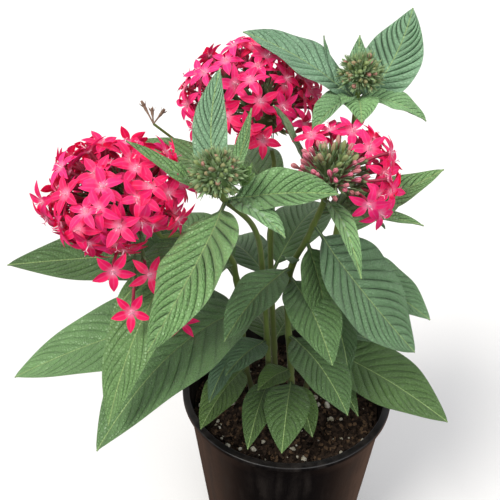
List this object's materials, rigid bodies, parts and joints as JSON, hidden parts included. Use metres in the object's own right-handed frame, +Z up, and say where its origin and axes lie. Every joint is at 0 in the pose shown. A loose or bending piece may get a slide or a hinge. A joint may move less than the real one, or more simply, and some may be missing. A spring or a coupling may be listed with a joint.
{
  "type": "potted pentas plant",
  "caption": "Potted flowering pentas: leafy stems with domed heads of star-shaped pink florets and green bud heads, in a round tapered nursery pot filled with soil.",
  "frame": {"origin": "centre of the pot's flat base, on the surface it stands on", "axes": "+Z up, +Y from the viewer of the picture to the back, +X to the right"},
  "size_m": [0.2605, 0.2144, 0.3752],
  "materials": {
    "pot": "satin",
    "soil": "matte",
    "leaf": "satin",
    "floret": "matte",
    "open_bud": "matte",
    "green_bud": "matte"
  },
  "bodies": {
    "root": {"pot": "pot", "soil": "soil", "stem_front": "leaf", "stem_left": "leaf", "stem_right": "leaf", "stem_back": "leaf", "stem_top": "leaf", "head_left": "floret", "head_back": "floret", "buds_right": "open_bud", "buds_front": "green_bud", "buds_top": "green_bud"}
  },
  "joints": []
}
